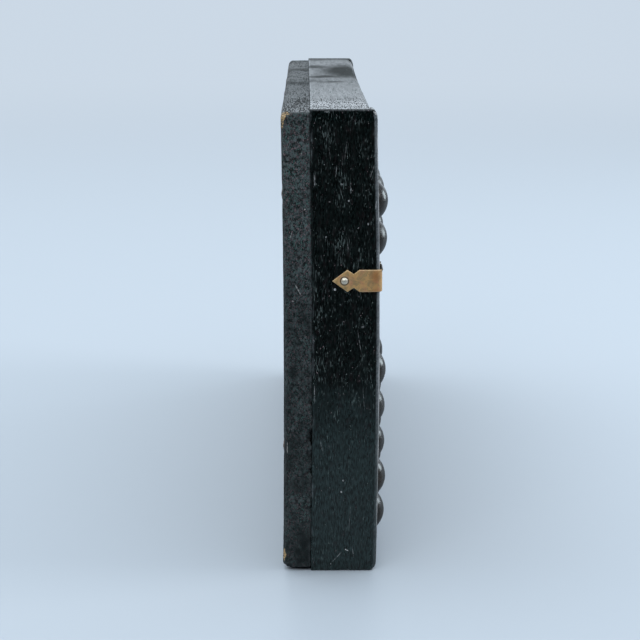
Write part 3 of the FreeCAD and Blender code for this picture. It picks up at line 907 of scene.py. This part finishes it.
def strap(name, side):
    """A thin strap bent round a post, with a rounded rim and a barbed point at the end of each leg."""
    node = f"beam_strap_{name}"
    low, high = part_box(node)
    widest = (high.z - low.z) / 2
    corner_x = low.x + STRAP_THICKNESS if side < 0 else high.x - STRAP_THICKNESS
    corner_y = low.y + STRAP_THICKNESS
    flank = high.y - corner_y - BEND_RADIUS
    front = (high.x - low.x) - STRAP_THICKNESS - BEND_RADIUS
    arc_length = BEND_RADIUS * math.pi / 2
    total = flank + arc_length + front
    corners = np.array([at for at, _ in STRAP_OUTLINE]) * MM
    path = np.unique(np.concatenate([
        np.linspace(0, total, 170), corners, total - corners, flank + np.linspace(0, arc_length, 9)
    ]))
    shape = np.minimum(half_width(path, widest), half_width(total - path, widest))
    across = np.linspace(-1, 1, 27)
    ring = [(STRAP_THICKNESS, w, STRAP_RIM) for w in across]
    ring += [(STRAP_THICKNESS - STRAP_RIM, 1.0, 0.0), (STRAP_RIM, 1.0, 0.0)]
    ring += [(0.0, w, STRAP_RIM) for w in across[::-1]]
    ring += [(STRAP_RIM, -1.0, 0.0), (STRAP_THICKNESS - STRAP_RIM, -1.0, 0.0)]
    lift = layered_noise(np.stack([path / (4 * MM), path * 0, path * 0], 1), 41) * 0.04 * MM
    lift += STRAP_TIP_LIFT * hill(np.minimum(path, total - path), 1.2 * MM)
    rows = []
    for s, width, up in zip(path, shape, lift):
        inner = max(width - STRAP_RIM, 0.02 * MM)
        for depth, w, inset in ring:
            z = w * (inner if inset else inner + STRAP_RIM)
            curl = STRAP_CURL * ramp(z / widest, 0.8, 1.0) * ramp(s, flank, flank + arc_length)
            rows.append((s, z, depth + up + curl + 0.02 * MM))
    s, z, depth = np.array(rows).T
    angle = np.clip((s - flank) / arc_length, 0, 1) * math.pi / 2
    beyond = np.maximum(s - flank - arc_length, 0)
    before = np.maximum(flank - s, 0)
    out = BEND_RADIUS - (BEND_RADIUS + depth) * np.cos(angle) + beyond
    back = BEND_RADIUS - (BEND_RADIUS + depth) * np.sin(angle) + before
    points = np.stack([corner_x - side * out, corner_y + back, z + (low.z + high.z) / 2], 1)
    count = len(ring)
    here = np.arange(len(path) - 1)[:, None] * count + np.arange(count)[None, :]
    onward = here + count
    quads = np.stack([here, np.roll(here, -1, 1), np.roll(onward, -1, 1), onward], -1).reshape(-1, 4)
    caps = [list(range(count))[::-1], list(range(len(points) - count, len(points)))]
    faces = [*quads.tolist(), *caps]
    if side > 0:
        faces = [face[::-1] for face in faces]
    points[:, 1] -= bend_at(points[:, 2])
    edge = np.abs(z) / np.repeat(np.maximum(shape, 0.2 * MM), count)
    tip = np.minimum(s, total - s)
    from_tack = np.hypot(tip - TIP_TO_TACK, z)
    # Brighter edges, tip, tack rings and bend: rubbed brass, with painted highlight on edges and tip
    wear = 0.8 * ramp(edge, 0.9, 1.0) + 0.8 * hill(tip, 0.9 * MM)
    wear += 0.5 * hill(from_tack - 1.8 * MM, 0.22 * MM) + 0.15 * hill(angle - math.pi / 4, 0.4)
    rust = hill(s - flank + 0.5 * MM, 1.5 * MM) * (0.65 + 0.35 * np.sin(z / MM))
    # Painted shade: a ring round each tack's foot, partly grime, and the shadow under the curled edges
    round_tack = hill(from_tack - 1.38 * MM, 0.2 * MM)
    in_curl = ramp(z / widest, 0.8, 0.95) * ramp(s, flank + 0.3 * arc_length, flank + arc_length)
    values = {"wear": wear, "rust": rust, "shade_and_grime": np.maximum(round_tack, in_curl)}
    new_piece(node, points, faces, strap_brass, FRAME_BODY, (node,),
              {key: np.clip(value, 0, 1) for key, value in values.items()})


def dome(radius, height):
    """A low dome with a rolled edge and a flat foot a little below z = 0."""
    curve = (radius**2 + height**2) / (2 * height)
    top = math.degrees(math.asin(radius * 0.93 / curve))
    hole = 0.02 * MM
    profile = [(hole, -0.3 * MM), (radius * 0.9, -0.3 * MM), (radius, -0.05 * MM), (radius, 0.12 * height)]
    profile += [(max(r, hole), z) for r, z in arc((0, height - curve), curve, 90 - top, 89.9, 12)]
    return capped_lathe(profile, 40)


def studs(node, places, radius, height, material, seed):
    """Domed heads in one piece, each at (point, outward direction) and a little dented."""
    everything, faces, values = [], [], []
    start = 0
    for n, (point, outward) in enumerate(places):
        points, shape = dome(radius, height)
        dent = layered_noise(points / (0.9 * MM) + n * 7, seed + n) * 0.05 * MM
        points[:, 2] += dent * (points[:, 2] > 0)
        distance = np.hypot(points[:, 0], points[:, 1])
        # Each head's rim, which the tack finish darkens as painted shade round its foot
        values.append(ramp(distance / radius, 0.86, 1.0))
        turn = Vector((0, 0, 1)).rotation_difference(outward).to_matrix()
        everything.append(points @ np.array(turn).T + np.array(point))
        faces += [[i + start for i in face] for face in shape]
        start += len(points)
    points = np.concatenate(everything)
    points[:, 1] -= bend_at(points[:, 2])
    new_piece(node, points, faces, material, FRAME_BODY, (node,), {"wear": np.concatenate(values)})


def straps_and_tacks():
    for name, side in (("left", -1), ("right", 1)):
        strap(name, side)
        low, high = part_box(f"beam_strap_{name}")
        middle_z = (low.z + high.z) / 2
        outer_x, tip_x = (low.x, high.x) if side < 0 else (high.x, low.x)
        places = (
            (Vector((outer_x, high.y - TIP_TO_TACK, middle_z)), Vector((side, 0, 0))),
            (Vector((tip_x + side * TIP_TO_TACK, low.y, middle_z)), Vector((0, -1, 0))),
        )
        studs(f"strap_tacks_{name}", places, TACK_RADIUS, TACK_HEIGHT, tack_brass, 51 + side)


def board_nails():
    heads = [(Vector((x, board_back - NAIL_SUNK, z)), Vector((0, 1, 0))) for x, z in nail_places()]
    studs("backboard_nails", heads, NAIL_RADIUS, NAIL_HEIGHT, nail_steel, 71)


# Stage --------

def floor():
    """A plain pale floor that melts into the backdrop far away.

    In reflections it is dim, and it ends a little way in front of the left end.
    """
    material, tree = start_material("pale_floor")
    where = add(tree, "NewGeometry").outputs["Position"]
    x = add(tree, "SeparateXYZ", {0: where}).outputs[0]
    rays = add(tree, "LightPath").outputs
    ahead = fade(tree, x, left_post_low.x - 0.25, left_post_low.x - 0.09, 1.0, FLOOR_VEIL)
    veil = times(tree, rays["Is Glossy Ray"], ahead)
    pale = add(tree, "BsdfPrincipled", {"Base Color": (*FLOOR_COLOUR, 1), "Roughness": 0.45})
    dark = add(tree, "BsdfDiffuse", {"Color": (0.01, 0.011, 0.013, 1)})
    near = add(tree, "MixShader", {0: veil, 1: pale.outputs[0], 2: dark.outputs[0]})
    away = add(tree, "VectorMath", {0: where}, operation="LENGTH").outputs["Value"]
    far = times(tree, rays["Is Camera Ray"], fade(tree, away, 0.35, 2.2))
    backdrop = add(tree, "Emission", {"Color": (*BACKDROP, 1), "Strength": 1.0})
    mixed = add(tree, "MixShader", {0: far, 1: near.outputs[0], 2: backdrop.outputs[0]})
    add(tree, "OutputMaterial", {"Surface": mixed.outputs[0]})
    mesh = bpy.data.meshes.new("floor")
    reach = FLOOR_HALF_SIZE
    corners = [(-reach, -reach, 0), (reach, -reach, 0), (reach, reach, 0), (-reach, reach, 0)]
    mesh.from_pydata(corners, [], [(0, 1, 2, 3)])
    mesh.materials.append(material)
    piece = new_object("floor", mesh)


def world():
    """Pale blue daylight, dim from the left and bright from above and far right, and a plain backdrop."""
    scene_world = bpy.data.worlds.new("daylight")
    bpy.context.scene.world = scene_world
    scene_world.use_nodes = True
    tree = scene_world.node_tree
    tree.nodes.clear()
    direction = add(tree, "TexCoord").outputs["Generated"]
    x, _, z = add(tree, "SeparateXYZ", {0: direction}).outputs
    light = plus(tree, fade(tree, x, -0.6, 0.5, 0.03, 0.36), fade(tree, x, 0.72, 0.97, 0.0, 0.80))
    light = plus(tree, light, fade(tree, z, 0.30, 0.85, 0.0, 1.35))
    sky = add(tree, "Background", {"Color": (0.80, 0.90, 1.0, 1), "Strength": light})
    seen = add(tree, "Background", {"Color": (*BACKDROP, 1), "Strength": 1.0})
    by_camera = add(tree, "LightPath").outputs["Is Camera Ray"]
    mixed = add(tree, "MixShader", {0: by_camera, 1: sky.outputs[0], 2: seen.outputs[0]})
    add(tree, "OutputWorld", {"Surface": mixed.outputs[0]})


def softbox(name, place_at, size, power, colour):
    """A square area light aimed at the middle of the object."""
    light = bpy.data.lights.new(name, "AREA")
    light.shape = "SQUARE"
    light.size = size
    light.energy = power
    light.color = colour
    lamp = new_object(name, light)
    lamp.location = place_at
    lamp.visible_camera = False
    target = (cad_bounds[0] + cad_bounds[1]) / 2
    lamp.rotation_euler = (target - lamp.location).to_track_quat("-Z", "Y").to_euler()


def camera():
    """Looks down the length of the abacus from in front of its left end."""
    data = bpy.data.cameras.new("camera")
    data.lens = CAMERA_LENS
    data.sensor_width = SENSOR_WIDTH
    data.clip_start, data.clip_end = CAMERA_CLIP
    eye = new_object("camera", data)
    eye.location = (left_post_low.x - CAMERA_DISTANCE, CAMERA_SIDE, frame_z[0] + CAMERA_HEIGHT)
    level = math.cos(CAMERA_PITCH)
    forward = Vector((level * math.cos(CAMERA_YAW), level * math.sin(CAMERA_YAW), -math.sin(CAMERA_PITCH)))
    eye.rotation_euler = forward.to_track_quat("-Z", "Y").to_euler()
    bpy.context.scene.camera = eye


camera()
world()
floor()
for light in SOFTBOXES:
    softbox(*light)
bpy.context.scene.view_settings.view_transform = "Standard"

end_posts()
rails_and_beam()
back_board()
rods()
all_beads()
straps_and_tacks()
board_nails()
